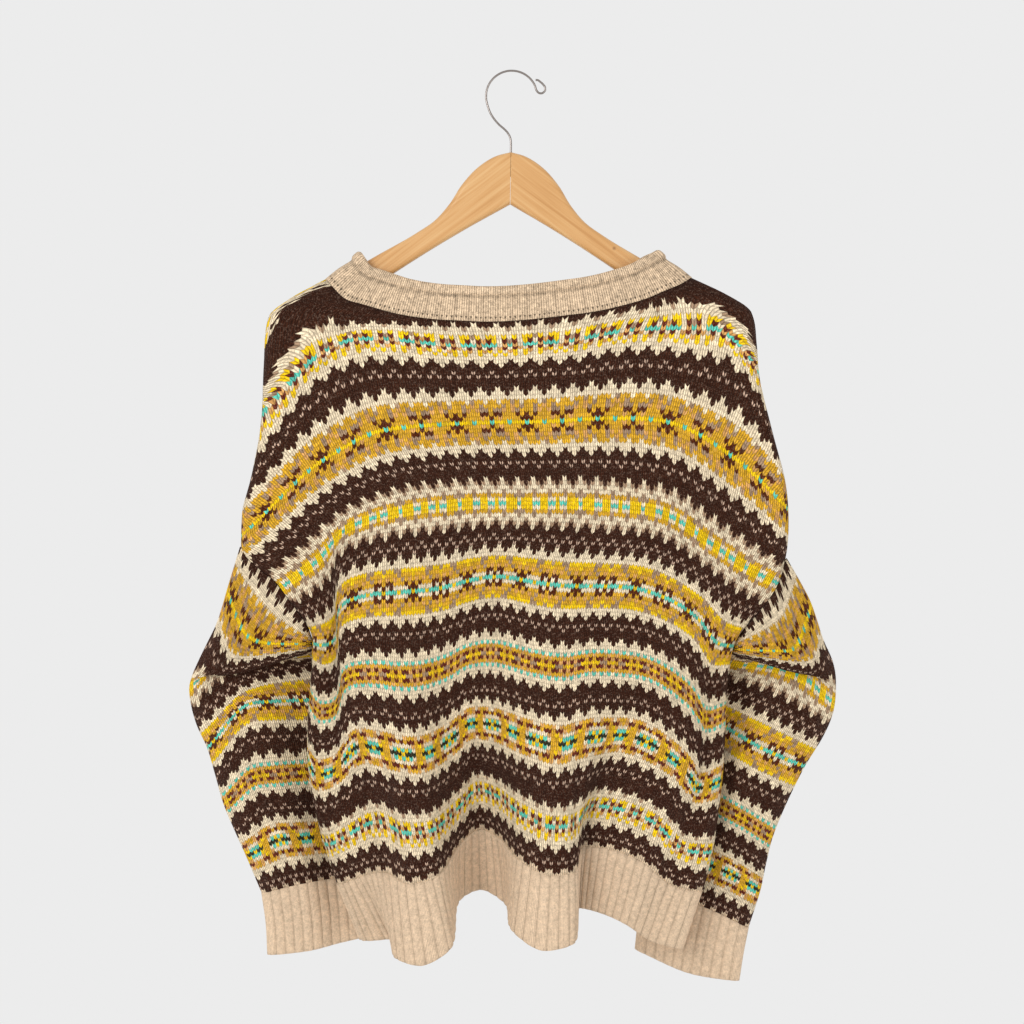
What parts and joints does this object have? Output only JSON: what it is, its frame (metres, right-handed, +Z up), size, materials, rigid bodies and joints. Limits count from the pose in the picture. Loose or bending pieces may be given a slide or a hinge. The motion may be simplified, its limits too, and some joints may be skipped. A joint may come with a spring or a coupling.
{
  "type": "fair isle jumper on a wooden clothes hanger",
  "caption": "Boxy knitted jumper with patterned bands, ribbed neck, hem and cuffs, hanging folded by its own weight on a flat wooden hanger with a wire hook.",
  "frame": {"origin": "inside top of the hook's crook, where a rail or pin carries the hanger", "axes": "+Z up, -Y out of the jumper's back, which faces the viewer, +X across the body towards the viewer's right"},
  "size_m": [0.6096, 0.1313, 0.8582],
  "materials": {
    "stranded_knit": "fuzzy wool, stranded colour bands on dark brown",
    "rib_knit": "heathered beige wool rib",
    "collar_rib": "smooth beige rib with a rolled edge",
    "hanger_wood": "satin clear lacquer on light wood",
    "hook_wire": "polished"
  },
  "bodies": {
    "root": {"back_panel": "stranded_knit", "front_panel": "stranded_knit", "back_hem_rib": "rib_knit", "front_hem_rib": "rib_knit", "left_sleeve": "stranded_knit", "right_sleeve": "stranded_knit", "left_cuff": "rib_knit", "right_cuff": "rib_knit", "collar": "collar_rib", "hanger_arm_left": "hanger_wood", "hanger_arm_right": "hanger_wood", "hanger_hook": "hook_wire"}
  },
  "joints": []
}
